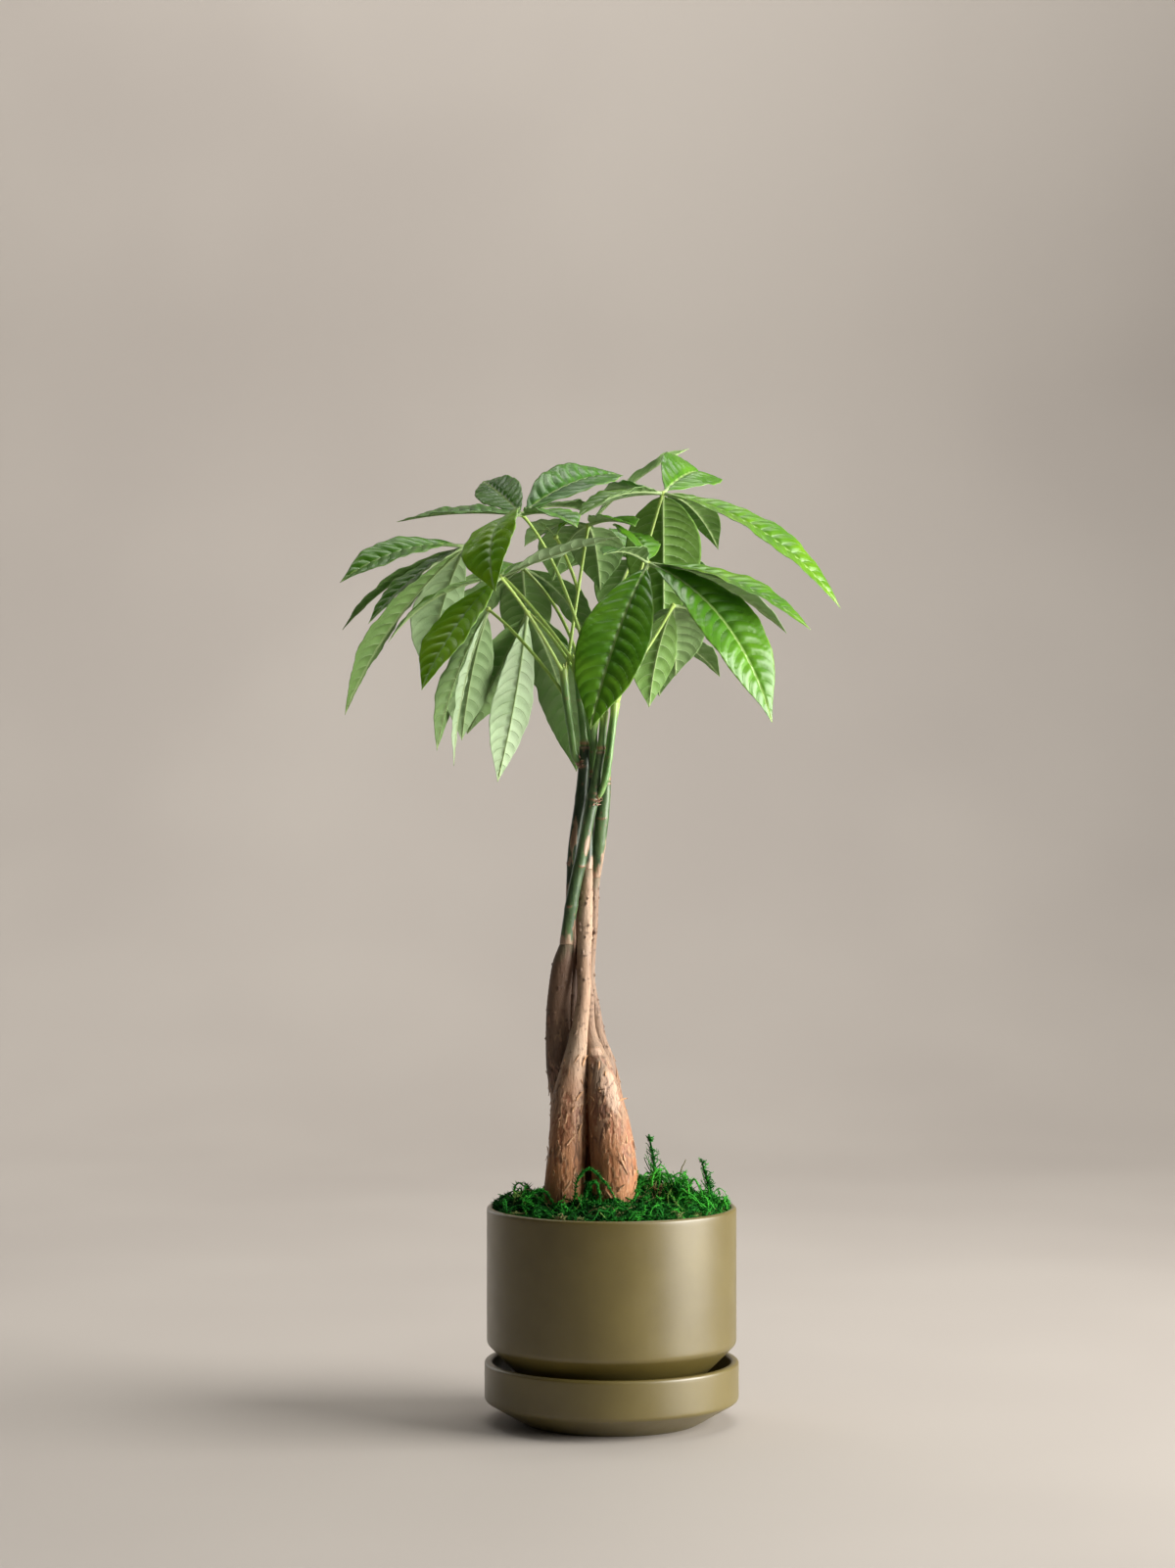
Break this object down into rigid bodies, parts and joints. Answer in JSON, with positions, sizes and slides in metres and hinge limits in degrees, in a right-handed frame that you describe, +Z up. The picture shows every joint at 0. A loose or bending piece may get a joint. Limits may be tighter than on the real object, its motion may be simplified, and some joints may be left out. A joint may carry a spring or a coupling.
{
  "type": "potted money tree",
  "caption": "Potted money tree: thin trunks with swollen feet wound round each other, under a crown of palmate leaves, in a glazed pot on its saucer, with moss over the soil.",
  "frame": {"origin": "centre of the saucer's underside, at table level", "axes": "+Z up along the pot's axis, +X to the right seen from the front of the picture, +Y away from the front"},
  "size_m": [0.2809, 0.25, 0.5545],
  "materials": {
    "saucer_glaze": "satin",
    "pot_glaze": "satin",
    "soil": "matte",
    "moss": "matte",
    "bark": "matte",
    "stem": "satin",
    "shoot": "satin",
    "leaf": "satin"
  },
  "bodies": {
    "root": {"saucer": "saucer_glaze", "pot": "pot_glaze", "soil": "soil", "moss": "moss", "trunk_1": "bark", "trunk_2": "bark", "trunk_3": "bark", "trunk_4": "bark", "trunk_5": "bark", "stem_1": "stem", "stem_2": "stem", "stem_3": "stem", "stem_4": "stem", "stem_5": "stem", "shoot_1": "shoot", "shoot_2": "shoot", "shoot_3": "shoot", "shoot_4": "shoot", "shoot_5": "shoot", "shoot_6": "shoot", "shoot_7": "shoot", "leaf_top_right": "leaf", "leaf_front_right": "leaf", "leaf_front_left": "leaf", "leaf_top_left": "leaf", "leaf_left": "leaf", "leaf_top": "leaf", "leaf_hanging_left": "leaf", "leaf_hanging_centre": "leaf", "leaf_hanging_right": "leaf", "leaf_back_left": "leaf", "leaf_back": "leaf", "leaf_back_right": "leaf", "leaf_low_back": "leaf"}
  },
  "joints": []
}
